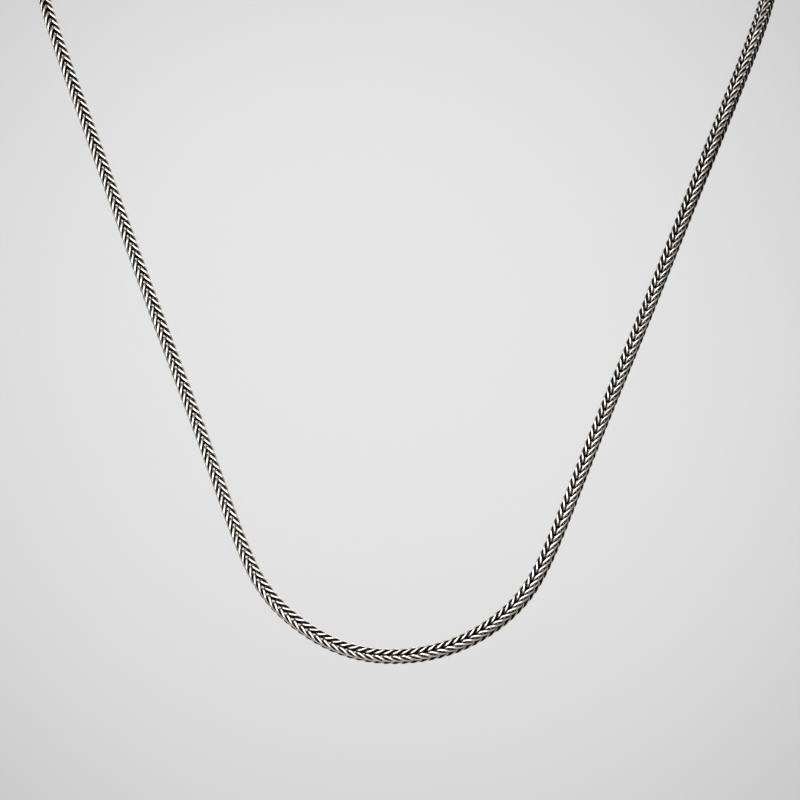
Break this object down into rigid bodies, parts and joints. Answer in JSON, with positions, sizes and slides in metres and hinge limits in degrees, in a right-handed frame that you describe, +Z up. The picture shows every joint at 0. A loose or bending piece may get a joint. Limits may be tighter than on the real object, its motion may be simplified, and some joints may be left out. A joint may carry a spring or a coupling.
{
  "type": "foxtail chain necklace",
  "caption": "Foxtail chain necklace in darkened silver, a whole loop as worn, with a cup on each chain end and a hook clasp at the nape.",
  "frame": {"origin": "the middle of the clasp, where the necklace sits on the nape", "axes": "+Z up, the front drop faces -Y, +X towards the strand that is on the right when the front is looked at"},
  "size_m": [0.1341, 0.1076, 0.1378],
  "materials": {
    "darkened_silver": "silver wire links, blackened in the gaps and rubbed bright on the high spots",
    "plain_silver": "polished silver with a faint haze of fine scratches"
  },
  "bodies": {
    "root": {"chain": "darkened_silver", "end_cap_left": "plain_silver", "end_cap_right": "plain_silver", "clasp": "plain_silver"}
  },
  "joints": []
}
